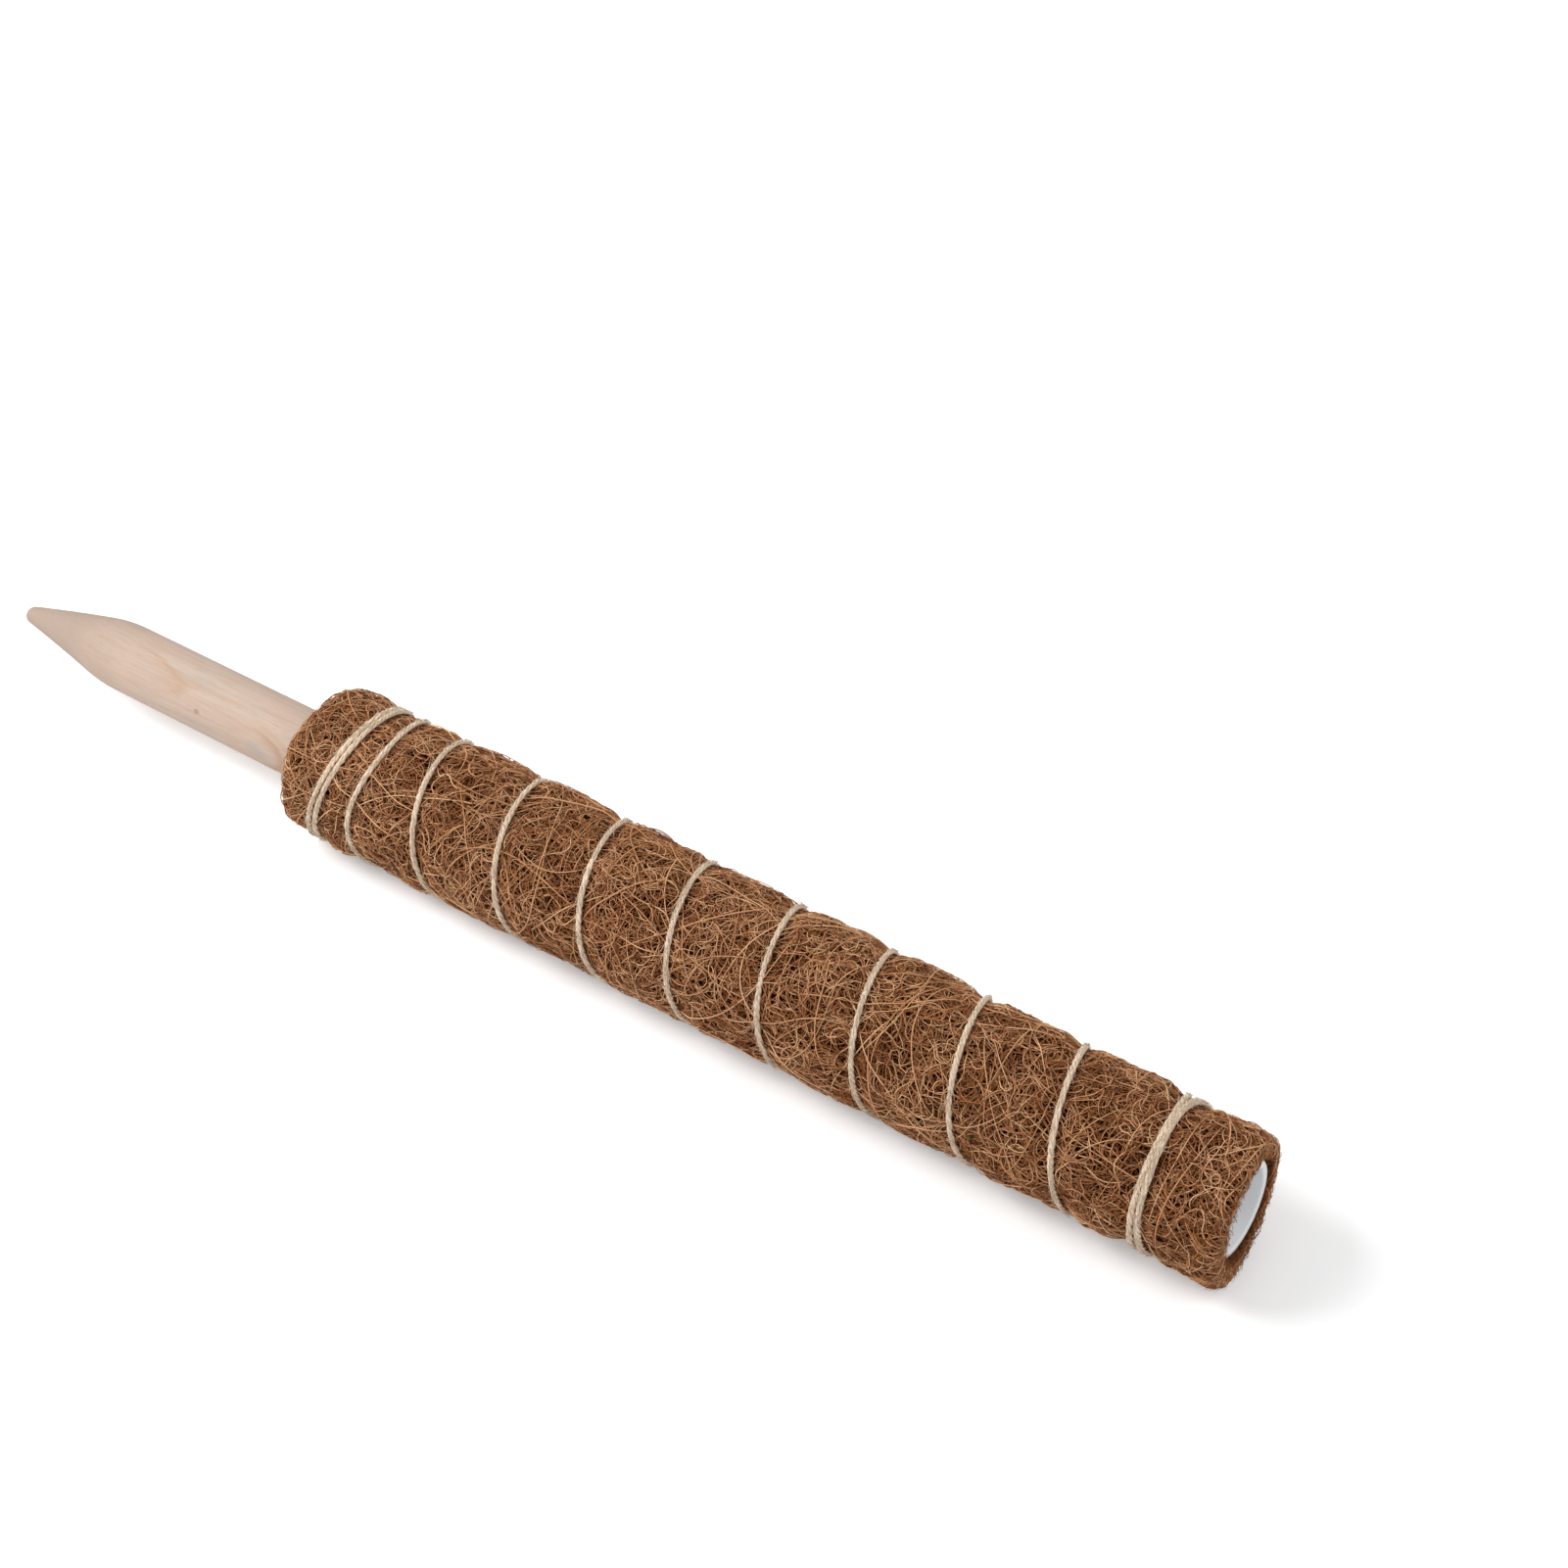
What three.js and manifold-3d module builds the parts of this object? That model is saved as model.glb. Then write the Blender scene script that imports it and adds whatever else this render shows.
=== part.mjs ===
// Moss pole: a plastic pipe wrapped in a coir mat, the mat tied on with one winding of jute twine,
// and a pointed wooden stake pushed into the pipe's lower end. The open end takes the next stake.
// Millimetres, +Z up. The pole lies on its side: +X runs from the stake's point to the open end.

import * as THREE from 'three';
import { mergeVertices } from 'three/addons/utils/BufferGeometryUtils.js';
import Module from 'manifold-3d';

// Pipe
const PIPE_OUTER_RADIUS = 10;
const PIPE_WALL = 1.8;
const PIPE_EDGE_CHAMFER = 0.4;
const PIPE_RECESS_AT_STAKE = 2;
const PIPE_RECESS_AT_OPEN_END = 0.9;

// Wooden stake, measured from the coir's lower end
const STAKE_CLEARANCE = 0.35;
const STAKE_EXPOSED = 92.3;
const STAKE_SEATED = 58;
const STAKE_END_CHAMFER = 0.8;
const POINT_LENGTH = 33;
const POINT_TIP_RADIUS = 1.7;
const POINT_TIP_ROUND = 1.6;
const POINT_SHOULDER = 9;
const POINT_OFFSET = 0.7;

// Coir mat
const COIR_LENGTH = 221.2;
const COIR_FIT = 0.4;
const COIR_THICK_AT_STAKE = 6.3;
const COIR_THICK_AT_OPEN_END = 5.1;
const COIR_END_ROUND_LENGTH = 4.5;
const COIR_END_ROUND_DEPTH = 1.9;
const COIR_FLAT_DEPTH = 0.5;

// Jute twine: turns close together at both ends, with open turns between them
const TWINE_RADIUS = 0.65;
const TWINE_TURNS = 14 - 15 / 360;
const TWINE_START_ANGLE = -120;
const TWINE_START_STATION = 7.4;
const TWINE_END_INSET = 10.2;
const TWINE_SINK = 0.5;
const TWINE_SEAT_GAP = 0.35;
const TWINE_FLOOR_GAP = 0.25;
const FLOOR_REACH = 0.5;
const BAND_PITCH = 2.15;
const OPENING_TURNS = [1.03, 3.68];
const CLOSING_TURNS = [11.08, 11.51];
const BAND_LEAN = 5.2;
const LEAN_FADE_TURNS = [2.36, 2.77];
const GROOVE_FLAT = 1.3;
const GROOVE_REACH = 6.5;

// Knots at the two ends of the twine
const KNOT_GAP = 0.3;
const KNOT_LENGTH = 3.2;
const KNOT_WIDTH = 2.8;
const KNOT_HEIGHT = 2.2;
const KNOT_FACE_CUT = 0.3;
const KNOT_TAIL_LENGTH = 5;
const KNOT_TAIL_RISE = 20;
const KNOT_TAIL_SPREAD = 38;
const KNOT_GROOVE_TURNS = 0.05;

// Facets
const ROUND_SEGMENTS = 48;
const COIR_SEGMENTS = 24;
const COIR_ROWS = 90;
const COIR_EDGE_ROWS = [0.35, 1.1];
const TWINE_STEPS_PER_TURN = 24;
const TWINE_SIDES = 6;
const POINT_ROWS = 12;
const POINT_ROW_EASE = 1.6;

// Sizes that follow from the ones above
const BORE_RADIUS = PIPE_OUTER_RADIUS - PIPE_WALL;
const STAKE_RADIUS = BORE_RADIUS - STAKE_CLEARANCE;
const COIR_BORE_RADIUS = PIPE_OUTER_RADIUS + COIR_FIT;
const COIR_RADIUS_AT_STAKE = COIR_BORE_RADIUS + COIR_THICK_AT_STAKE;
const COIR_RADIUS_AT_OPEN_END = COIR_BORE_RADIUS + COIR_THICK_AT_OPEN_END;
const AXIS_HEIGHT = (COIR_RADIUS_AT_STAKE + COIR_RADIUS_AT_OPEN_END) / 2 - COIR_FLAT_DEPTH;
const POLE_LENGTH = STAKE_EXPOSED + COIR_LENGTH;

const wasm = await Module();
wasm.setup();

const radians = THREE.MathUtils.degToRad;
const { smoothstep, lerp } = THREE.MathUtils;

// Closed solids for cuts and joins, and back to geometry
function solidOf(geometry) {
  const bare = geometry.clone();
  bare.deleteAttribute('normal');
  bare.deleteAttribute('uv');
  const merged = mergeVertices(bare, 1e-4);
  return new wasm.Manifold(new wasm.Mesh({
    numProp: 3,
    vertProperties: new Float32Array(merged.attributes.position.array),
    triVerts: new Uint32Array(merged.index.array),
  }));
}

function geometryOf(solid) {
  const mesh = solid.getMesh();
  const geometry = new THREE.BufferGeometry();
  geometry.setAttribute('position', new THREE.BufferAttribute(mesh.vertProperties, 3));
  geometry.setIndex(new THREE.BufferAttribute(mesh.triVerts, 1));
  geometry.computeVertexNormals();
  return geometry;
}

// A profile of (radius, station) points turned about the pole's axis, which is the local X axis.
// Angle 0 is the top, 90 degrees the -Y side, 180 degrees the side that lies on the floor.
function turned(profile, segments) {
  const points = profile.map(([radius, station]) => new THREE.Vector2(radius, station));
  return new THREE.LatheGeometry(points, segments).rotateZ(-Math.PI / 2);
}

function onAxis(station, radius, angle) {
  return new THREE.Vector3(station, -radius * Math.sin(angle), radius * Math.cos(angle));
}

// Pipe with both edges of both ends broken by a small chamfer
function makePipe() {
  const start = PIPE_RECESS_AT_STAKE;
  const end = COIR_LENGTH - PIPE_RECESS_AT_OPEN_END;
  const c = PIPE_EDGE_CHAMFER;
  return turned([
    [BORE_RADIUS, start + c],
    [BORE_RADIUS + c, start],
    [PIPE_OUTER_RADIUS - c, start],
    [PIPE_OUTER_RADIUS, start + c],
    [PIPE_OUTER_RADIUS, end - c],
    [PIPE_OUTER_RADIUS - c, end],
    [BORE_RADIUS + c, end],
    [BORE_RADIUS, end - c],
    [BORE_RADIUS, start + c],
  ], ROUND_SEGMENTS);
}

// Radius of the stake's point at a distance from its tip: a blunt end, a straight cone, a soft shoulder
function pointRadius(distance) {
  const slope = (STAKE_RADIUS - POINT_TIP_RADIUS) / (POINT_LENGTH - POINT_SHOULDER / 2);
  const shoulderStart = POINT_LENGTH - POINT_SHOULDER;
  const past = Math.max(0, distance - shoulderStart);
  const cone = POINT_TIP_RADIUS + slope * distance - slope * past * past / (2 * POINT_SHOULDER);
  const blunt = Math.min(1, distance / POINT_TIP_ROUND);
  return cone * Math.sqrt(1 - (1 - blunt) ** 2);
}

// Stake along the axis; its hand-cut point lies a little off the axis, towards -Y and the floor
function makeStake() {
  const profile = [[0, -STAKE_EXPOSED]];
  for (let row = 1; row <= POINT_ROWS; row += 1) {
    const distance = POINT_LENGTH * (row / POINT_ROWS) ** POINT_ROW_EASE;
    profile.push([pointRadius(distance), distance - STAKE_EXPOSED]);
  }
  profile.push([STAKE_RADIUS, STAKE_SEATED - STAKE_END_CHAMFER]);
  profile.push([STAKE_RADIUS - STAKE_END_CHAMFER, STAKE_SEATED]);
  profile.push([0, STAKE_SEATED]);
  const geometry = turned(profile, ROUND_SEGMENTS);
  const position = geometry.attributes.position;
  for (let i = 0; i < position.count; i += 1) {
    const share = Math.max(0, 1 - (position.getX(i) + STAKE_EXPOSED) / POINT_LENGTH);
    const shift = POINT_OFFSET * share * share;
    position.setY(i, position.getY(i) - shift);
    position.setZ(i, position.getZ(i) - shift);
  }
  return geometry;
}

// Coir radius with no twine on it: a slight taper, rounded over at both ends
function coirCrown(station) {
  const inside = THREE.MathUtils.clamp(station, 0, COIR_LENGTH);
  const body = lerp(COIR_RADIUS_AT_STAKE, COIR_RADIUS_AT_OPEN_END, inside / COIR_LENGTH);
  const toEnd = Math.min(inside, COIR_LENGTH - inside);
  const over = Math.max(0, 1 - toEnd / COIR_END_ROUND_LENGTH);
  return body - COIR_END_ROUND_DEPTH * (1 - Math.sqrt(1 - over * over));
}

// Integral of a smooth rise from 0 to 1 between two turn counts
function rise(turn, [from, to]) {
  const s = THREE.MathUtils.clamp((turn - from) / (to - from), 0, 1);
  return (to - from) * (s ** 3 - s ** 4 / 2) + Math.max(0, turn - to);
}

const openTurns = rise(TWINE_TURNS, OPENING_TURNS) - rise(TWINE_TURNS, CLOSING_TURNS);
const twineRun = COIR_LENGTH - TWINE_END_INSET - TWINE_START_STATION;
const extraPitch = (twineRun - BAND_PITCH * TWINE_TURNS) / openTurns;

function twineAngle(turn) {
  return radians(TWINE_START_ANGLE) + 2 * Math.PI * turn;
}

// Station of the twine: close, leaning turns at the stake end, open turns, close turns at the open end
function twineStation(turn) {
  const open = rise(turn, OPENING_TURNS) - rise(turn, CLOSING_TURNS);
  const lean = BAND_LEAN * (1 - smoothstep(turn, ...LEAN_FADE_TURNS));
  return TWINE_START_STATION + BAND_PITCH * turn + extraPitch * open + lean * Math.cos(twineAngle(turn));
}

// The twine's centre line: sunk into the mat, and pressed up where the pole lies on the floor
function twineSeatRadius(station, angle) {
  const down = -Math.cos(angle);
  const floor = AXIS_HEIGHT - TWINE_RADIUS - TWINE_FLOOR_GAP;
  const sunk = coirCrown(station) - TWINE_SINK;
  return down > FLOOR_REACH ? Math.min(sunk, floor / down) : sunk;
}

function twinePoint(turn) {
  const station = twineStation(turn);
  const angle = twineAngle(turn);
  return onAxis(station, twineSeatRadius(station, angle), angle);
}

class Winding extends THREE.Curve {
  getPoint(share, target = new THREE.Vector3()) {
    return target.copy(twinePoint(share * TWINE_TURNS));
  }
}

function makeTwine() {
  const section = new THREE.Shape();
  for (let side = 0; side < TWINE_SIDES; side += 1) {
    const angle = 2 * Math.PI * side / TWINE_SIDES;
    const x = TWINE_RADIUS * Math.cos(angle);
    const y = TWINE_RADIUS * Math.sin(angle);
    if (side === 0) {
      section.moveTo(x, y);
    } else {
      section.lineTo(x, y);
    }
  }
  section.closePath();
  const winding = new Winding();
  winding.arcLengthDivisions = Math.round(TWINE_TURNS * TWINE_STEPS_PER_TURN) * 2;
  return new THREE.ExtrudeGeometry(section, {
    steps: Math.round(TWINE_TURNS * TWINE_STEPS_PER_TURN),
    extrudePath: winding,
    bevelEnabled: false,
  });
}

// Least gap of the winding to itself, on points more than half a turn apart
function leastTwineGap() {
  const perTurn = TWINE_STEPS_PER_TURN * 2;
  const points = [];
  for (let i = 0; i <= TWINE_TURNS * perTurn; i += 1) {
    points.push(twinePoint(i / perTurn));
  }
  let least = Infinity;
  for (let i = 0; i < points.length; i += 1) {
    for (let j = i + perTurn / 2; j < points.length; j += 1) {
      least = Math.min(least, points[i].distanceTo(points[j]));
    }
  }
  return least - 2 * TWINE_RADIUS;
}

// Coir radius where the twine draws it in: a groove under every turn and under both knots
function coirRadius(station, angle) {
  let radius = coirCrown(station);
  const crown = radius;
  const firstTurn = (angle - radians(TWINE_START_ANGLE)) / (2 * Math.PI);
  for (let turn = firstTurn - 2; turn <= TWINE_TURNS + KNOT_GROOVE_TURNS; turn += 1) {
    if (turn >= -KNOT_GROOVE_TURNS) {
      const strand = twineStation(turn);
      const seat = twineSeatRadius(strand, angle) - TWINE_RADIUS - TWINE_SEAT_GAP;
      const lift = smoothstep(Math.abs(station - strand), GROOVE_FLAT, GROOVE_REACH);
      radius = Math.min(radius, seat + (crown - seat) * lift);
    }
  }
  return radius;
}

// Stations of the coir's rows: even along the mat, with close rows on the rounded ends
function coirStations() {
  const stations = [];
  for (let row = 0; row <= COIR_ROWS; row += 1) {
    stations.push(COIR_LENGTH * row / COIR_ROWS);
  }
  for (const edge of COIR_EDGE_ROWS) {
    stations.push(edge, COIR_LENGTH - edge);
  }
  return stations.sort((a, b) => a - b);
}

// Coir mat: a thick sleeve with the drawn-in outside, flat where it lies on the floor
function makeCoir() {
  const outside = coirStations().map((station) => [coirCrown(station), station]);
  const profile = [[COIR_BORE_RADIUS, 0], ...outside, [COIR_BORE_RADIUS, COIR_LENGTH], [COIR_BORE_RADIUS, 0]];
  const geometry = turned(profile, COIR_SEGMENTS);
  const position = geometry.attributes.position;
  for (let i = 0; i < position.count; i += 1) {
    const place = new THREE.Vector3().fromBufferAttribute(position, i);
    if (Math.hypot(place.y, place.z) > COIR_BORE_RADIUS + COIR_FIT) {
      const angle = Math.atan2(-place.y, place.z);
      const moved = onAxis(place.x, coirRadius(place.x, angle), angle);
      position.setXYZ(i, moved.x, moved.y, moved.z);
    }
  }
  const floor = new THREE.BoxGeometry(COIR_LENGTH * 2, AXIS_HEIGHT * 4, AXIS_HEIGHT);
  floor.translate(COIR_LENGTH / 2, 0, -AXIS_HEIGHT * 1.5);
  return geometryOf(solidOf(geometry).subtract(solidOf(floor)));
}

// Knot with two short tails. Its flat side faces the twine's end, square to it, across a small gap.
// Locally +X leads away from the twine and +Z points out of the pole.
function makeKnot(turn, direction) {
  const lump = new THREE.SphereGeometry(0.5, 16, 10);
  lump.scale(KNOT_LENGTH, KNOT_WIDTH, KNOT_HEIGHT);
  const lift = KNOT_HEIGHT / 2 - TWINE_RADIUS;
  const centre = KNOT_GAP - KNOT_FACE_CUT + KNOT_LENGTH / 2;
  lump.translate(centre, 0, lift);
  let solid = solidOf(lump);
  for (const side of [-1, 1]) {
    const tail = new THREE.CylinderGeometry(TWINE_RADIUS, TWINE_RADIUS, KNOT_TAIL_LENGTH, TWINE_SIDES);
    tail.translate(0, KNOT_TAIL_LENGTH / 2, 0);
    tail.rotateZ(-Math.PI / 2);
    tail.rotateY(-radians(KNOT_TAIL_RISE));
    tail.rotateZ(side * radians(KNOT_TAIL_SPREAD));
    tail.translate(centre, 0, lift);
    solid = solid.add(solidOf(tail));
  }
  const cut = new THREE.BoxGeometry(KNOT_LENGTH, KNOT_WIDTH * 2, KNOT_HEIGHT * 2);
  cut.translate(KNOT_GAP - KNOT_LENGTH / 2, 0, lift);
  const geometry = geometryOf(solid.subtract(solidOf(cut)));

  const end = twinePoint(turn);
  const step = direction / (TWINE_STEPS_PER_TURN * 4);
  const away = end.clone().sub(twinePoint(turn - step)).normalize();
  const out = onAxis(0, 1, twineAngle(turn));
  out.addScaledVector(away, -out.dot(away)).normalize();
  const across = new THREE.Vector3().crossVectors(out, away);
  const frame = new THREE.Matrix4().makeBasis(away, across, out).setPosition(end);
  return geometry.applyMatrix4(frame);
}

function addPiece(group, name, geometry, color, roughness) {
  const material = new THREE.MeshStandardMaterial({ color, roughness, metalness: 0 });
  const mesh = new THREE.Mesh(geometry, material);
  mesh.name = name;
  group.add(mesh);
}

console.log(`least gap of the twine to itself: ${leastTwineGap().toFixed(2)} mm`);

const pole = new THREE.Group();
pole.position.set(STAKE_EXPOSED - POLE_LENGTH / 2, 0, AXIS_HEIGHT);
addPiece(pole, 'pvc_pipe', makePipe(), 0xeeeeea, 0.4);
addPiece(pole, 'wooden_stake', makeStake(), 0xd9bfa3, 0.7);
addPiece(pole, 'coir_mat', makeCoir(), 0x7a5430, 0.95);
addPiece(pole, 'jute_twine', makeTwine(), 0xb9a98f, 0.9);
addPiece(pole, 'lower_knot', makeKnot(0, -1), 0xb9a98f, 0.9);
addPiece(pole, 'upper_knot', makeKnot(TWINE_TURNS, 1), 0xb9a98f, 0.9);

const mossPole = new THREE.Group();
mossPole.add(pole);

export default mossPole;
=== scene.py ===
import math
from collections import namedtuple

import bmesh
import bpy
import numpy as np
from bpy.props import FloatProperty, FloatVectorProperty, IntProperty, PointerProperty
from bpy.types import NodeSocket, Operator, Panel, PropertyGroup
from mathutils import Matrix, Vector, noise


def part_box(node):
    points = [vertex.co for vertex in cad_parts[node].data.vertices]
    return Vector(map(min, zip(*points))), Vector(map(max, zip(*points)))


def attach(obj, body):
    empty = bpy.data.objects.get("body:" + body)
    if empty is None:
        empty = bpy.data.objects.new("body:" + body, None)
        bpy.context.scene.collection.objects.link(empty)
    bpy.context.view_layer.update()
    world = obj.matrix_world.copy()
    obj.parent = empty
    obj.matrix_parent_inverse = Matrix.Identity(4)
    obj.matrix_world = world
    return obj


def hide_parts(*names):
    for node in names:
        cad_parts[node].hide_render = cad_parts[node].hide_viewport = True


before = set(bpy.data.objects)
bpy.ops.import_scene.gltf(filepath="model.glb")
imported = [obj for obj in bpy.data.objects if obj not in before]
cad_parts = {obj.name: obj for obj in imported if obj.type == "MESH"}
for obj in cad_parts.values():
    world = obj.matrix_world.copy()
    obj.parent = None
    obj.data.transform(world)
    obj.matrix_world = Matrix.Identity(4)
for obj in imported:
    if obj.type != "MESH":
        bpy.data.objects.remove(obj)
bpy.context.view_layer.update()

bl_info = {
    "name": "Moss pole",
    "version": (1, 0, 0),
    "blender": (4, 5, 0),
    "location": "View3D > Sidebar > Moss pole",
    "description": "Dresses a moss pole: coir fibres, jute twine, wooden stake and plastic pipe",
    "category": "Object",
}

# Places taken from the frame, in metres. Stations run along the pole from the coir's lower end.
MM = 0.001
COIR_LOW, COIR_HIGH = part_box("coir_mat")
PIPE_LOW, PIPE_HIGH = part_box("pvc_pipe")
STAKE_LOW, STAKE_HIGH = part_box("wooden_stake")
COIR_START = COIR_LOW.x
COIR_LENGTH = COIR_HIGH.x - COIR_LOW.x
AXIS_HEIGHT = (PIPE_LOW.z + PIPE_HIGH.z) / 2
PIPE_RADIUS = (PIPE_HIGH.y - PIPE_LOW.y) / 2
STAKE_RADIUS = (STAKE_HIGH.y - STAKE_LOW.y) / 2
FULL_TURN = 2 * math.pi

POLE_BODY = "pole"
STAKE_BODY = "stake"
WHITE = (1, 1, 1)
# Points nearer to each other than this are welded
WELD = 1e-7

# The map that holds each strand's place in a palette: along the strand, and its tone
PALETTE_MAP = "OFBake"
PALETTE_EDGE = 0.01
PALETTE_INSIDE = 1 - 2 * PALETTE_EDGE
# Half the size of a strand's section on that map, and how far the section is turned there
PALETTE_SPREAD = 0.003
PLY_SPREAD = 0.1
PALETTE_TURN = math.radians(15)

# How the first and the last turns of the twine are drawn together, with places in turns from its start
LOWER_FADE = (0.75, 1.35)
UPPER_START = 11.6
UPPER_SWING = 0.4
UPPER_SIDE = math.radians(20)
LAST_PULL = 1.2
LAST_POWER = 1.5
BAND_FADE = (11.75, 12.1)
CREST_SIDE = math.radians(-25)
FOOT_SIDE = math.radians(140)
# Cosine of the angle from straight down within which the twine can touch the floor
UNDERSIDE = 0.5

# The twine's plies, in twine radii, and their uneven twist and swelling, as (height, rate, phase) waves
PLIES = 3
PLY_ACROSS = 0.46
PLY_OUT = 0.3
PLY_RADIUS = 0.5
TWIST_WAVES = ((0.35, 95, 0), (0.25, 233, 1))
SWELL_WAVES = ((0.1, 310, 0), (0.08, 741, 2), (0.1, 57, 0))

# Points along a strand, sides round it, and rings of the stake, which crowd towards its tip
TWINE_POINTS = 4200
KNOT_POINTS = 90
HAIR_POINTS = 6
END_POINTS = 7
FIBRE_SIDES = 3
PLY_SIDES = 5
KNOT_SIDES = 6
POINT_RINGS = 60
RING_CROWDING = 1.5
SHAFT_RINGS = 90

# Coir fibres: curl in radians per metre, depth of their tucked ends, run along the palette
FIBRE_CURL = 210
TUCK_DEPTH = 0.5 * MM
FIBRE_RUN = 0.28
# Powers over 1 make dark tones more common, and strands bend up late
TONE_POWER = 1.2
END_POWER = 1.5
HAIR_POWER = 1.6
# Tone that is left of a fibre next to the bore, where shade is painted on the rims
RIM_SHADE_TONE = 0.3
# Cut fibres: share at the open end, share on the rims, distance from the bore there and elsewhere
OPEN_END_SHARE = 0.7
RIM_SHARE = 0.7
RIM_INSET = (2 * MM, 4.2 * MM)
SIDE_INSET = (2 * MM, 9 * MM)
# Depth of their roots, least distance from the bore, side on which they stand up most
END_ROOT = 0.3 * MM
END_MARGIN = 0.2 * MM
NEAR_SIDE = math.radians(80)
# Usual radius of a hair of the twine, and how much a hair or a cut fibre thins out
HAIR_RADIUS = 0.06 * MM
TAPER = 0.6

# The knots: lift over the twine, length, width and height, and the tails as (lean, length)
KNOT_LIFT = 0.9 * MM
KNOT_SIZE = (0.52 * MM, 0.5 * MM, 0.45 * MM)
KNOT_RADIUS = 0.5 * MM
KNOT_TAILS = ((0.55, 5.2 * MM), (-0.35, 4.4 * MM))
TAIL_LEAD = 0.8
TAIL_WAVE = 0.35 * MM
TAIL_FRAY = 0.25


# Settings


def mm(*values):
    """Millimetres as metres."""
    return [MM * value for value in values]


def setting(kind, scale=1, **fixed):
    """A short call for properties of one kind, which takes a name, a description and a default."""

    def make(name, description, value):
        default = [scale * part for part in value] if isinstance(value, tuple) else scale * value
        return kind(name=name, description=description, default=default, **fixed)

    return make


size_mm = setting(FloatProperty, MM, min=0, unit="LENGTH", precision=5)
place_mm = setting(FloatVectorProperty, MM, size=3, subtype="TRANSLATION", unit="LENGTH", precision=5)
degrees = setting(FloatProperty, math.radians(1), subtype="ANGLE")
turn_span = setting(FloatVectorProperty, size=2)
tint = setting(FloatVectorProperty, size=3, min=0, max=1, subtype="COLOR")
count = setting(IntProperty, min=0)
amount = setting(FloatProperty, min=0)
power = setting(FloatProperty, min=0, unit="POWER")


class MatSettings(PropertyGroup):
    """Sizes and colours of the coir mat"""

    thick_at_stake: size_mm("Thickness at stake", "Coir wall at the stake end", 6.3)
    thick_at_open_end: size_mm("Thickness at open end", "Coir wall at the open end", 4.5)
    pipe_fit: size_mm("Pipe fit", "Gap between the pipe and the coir", 0.4)
    round_length: size_mm("Round length", "Length over which the stake end is rounded", 4.5)
    round_depth: size_mm("Round depth", "How far the stake end is rounded in", 1.9)
    open_round: size_mm("Open round", "Length over which the open end is rounded", 4)
    open_depth: size_mm("Open depth", "How far the open end is rounded in", 1.8)
    groove_flat: size_mm("Groove flat", "Half width of the groove's floor under the twine", 0.5)
    groove_reach: size_mm("Groove reach", "Distance at which the coir is full again", 4.6)
    lump: size_mm("Lumps", "Height of the mat's soft unevenness", 0.3)
    fibre_drop: size_mm("Fibre drop", "Room left under the surface for standing fibres", 0.4)
    core_depth: size_mm("Core depth", "Depth of the dark core under the surface", 1.1)
    fibre_radius: size_mm("Fibre radius", "Usual radius of a coir fibre", 0.1)
    deep_fibres: count("Deep fibres", "Fibres low in the tangle", 1800)
    middle_fibres: count("Middle fibres", "Fibres in the tangle", 7400)
    top_fibres: count("Top fibres", "Fibres on the surface", 12000)
    stray_fibres: count("Stray fibres", "Long loose fibres", 290)
    husk_strips: count("Husk strips", "Dark strips of husk", 90)
    end_fibres: count("End fibres", "Short fibres on the ends", 1500)
    end_bulge: size_mm("End bulge", "How far the coir stands over the pipe's open end", 1.3)
    end_slant: size_mm("End slant", "How far the open end leans out on the near side", 1.1)
    slant_angle: degrees("Slant angle", "Side on which the open end leans out", 105)
    stake_end_draw: size_mm("Stake end draw", "How far the stake end is drawn back", 0.9)
    # Painted shade on the rims: fibres next to the bore are darkened over these widths
    shade_rim_inner: size_mm("Dark rim", "Width of the dark rim next to the bore", 2.7)
    shade_rim_outer: size_mm("Rim edge", "Distance from the bore at which the rim is pale again", 3.6)
    seed: count("Seed", "Seed of the tangle", 11)
    # Painted shade: the core stands for the shaded depths of the mat and is near black
    core_colour: tint("Core colour", "Colour deep in the mat", (0.016, 0.0045, 0.0012))
    # The darkest tone: dark husk, and painted shade on deep fibres, on fibres next to the bore and in the
    # core
    dark_and_shade_colour: tint("Dark fibre", "Darkest fibre", (0.050, 0.011, 0.0022))
    middle_colour: tint("Middle fibre", "Usual fibre", (0.48, 0.187, 0.066))
    light_colour: tint("Light fibre", "Lighter fibre", (0.83, 0.465, 0.25))
    gold_colour: tint("Golden fibre", "Palest fibre", (0.95, 0.61, 0.33))


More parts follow.
